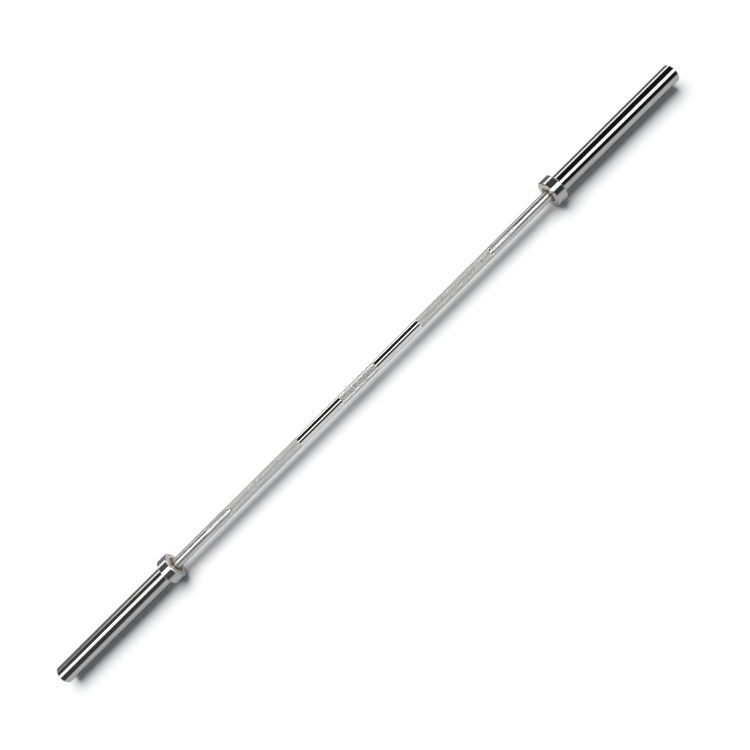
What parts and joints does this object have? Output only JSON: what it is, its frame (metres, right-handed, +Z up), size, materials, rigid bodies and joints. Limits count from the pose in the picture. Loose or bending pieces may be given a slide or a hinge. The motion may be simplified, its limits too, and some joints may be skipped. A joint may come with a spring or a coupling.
{
  "type": "barbell",
  "caption": "Straight weightlifting bar with a knurled steel shaft, stop collars and free-turning chromed sleeves that take weight plates.",
  "frame": {"origin": "middle of the shaft, on the bar's axis", "axes": "+X along the bar towards the right sleeve, +Z up, +Y away from the viewer"},
  "size_m": [2.134, 0.075, 0.075],
  "materials": {
    "shaft_chrome": "satin chrome over knurling, polished on the smooth bands",
    "sleeve_chrome": "polished chrome plate",
    "collar_chrome": "polished chrome plate, turned face",
    "bushing_bronze": "machined bronze",
    "seal_rubber": "matt black rubber",
    "washer_steel": "ground steel",
    "ring_spring_steel": "blackened spring steel",
    "cap_chrome": "polished chrome plate"
  },
  "bodies": {
    "bar": {"shaft": "shaft_chrome", "left_shaft_seal": "seal_rubber", "left_thrust_washer": "washer_steel", "left_shim_washer": "washer_steel", "left_shaft_retaining_ring": "ring_spring_steel", "right_shaft_seal": "seal_rubber", "right_thrust_washer": "washer_steel", "right_shim_washer": "washer_steel", "right_shaft_retaining_ring": "ring_spring_steel"},
    "left_end": {"left_sleeve": "sleeve_chrome", "left_collar": "collar_chrome", "left_inboard_bushing": "bushing_bronze", "left_outboard_bushing": "bushing_bronze", "left_end_cap": "cap_chrome", "left_cap_retaining_ring": "ring_spring_steel"},
    "right_end": {"right_sleeve": "sleeve_chrome", "right_collar": "collar_chrome", "right_inboard_bushing": "bushing_bronze", "right_outboard_bushing": "bushing_bronze", "right_end_cap": "cap_chrome", "right_cap_retaining_ring": "ring_spring_steel"}
  },
  "joints": [
    {"name": "left_sleeve_spin", "type": "hinge", "parent": "bar", "child": "left_end", "pos_m": [-0.875, 0, 0], "axis": [1, 0, 0], "continuous": true},
    {"name": "right_sleeve_spin", "type": "hinge", "parent": "bar", "child": "right_end", "pos_m": [0.875, 0, 0], "axis": [1, 0, 0], "continuous": true}
  ]
}
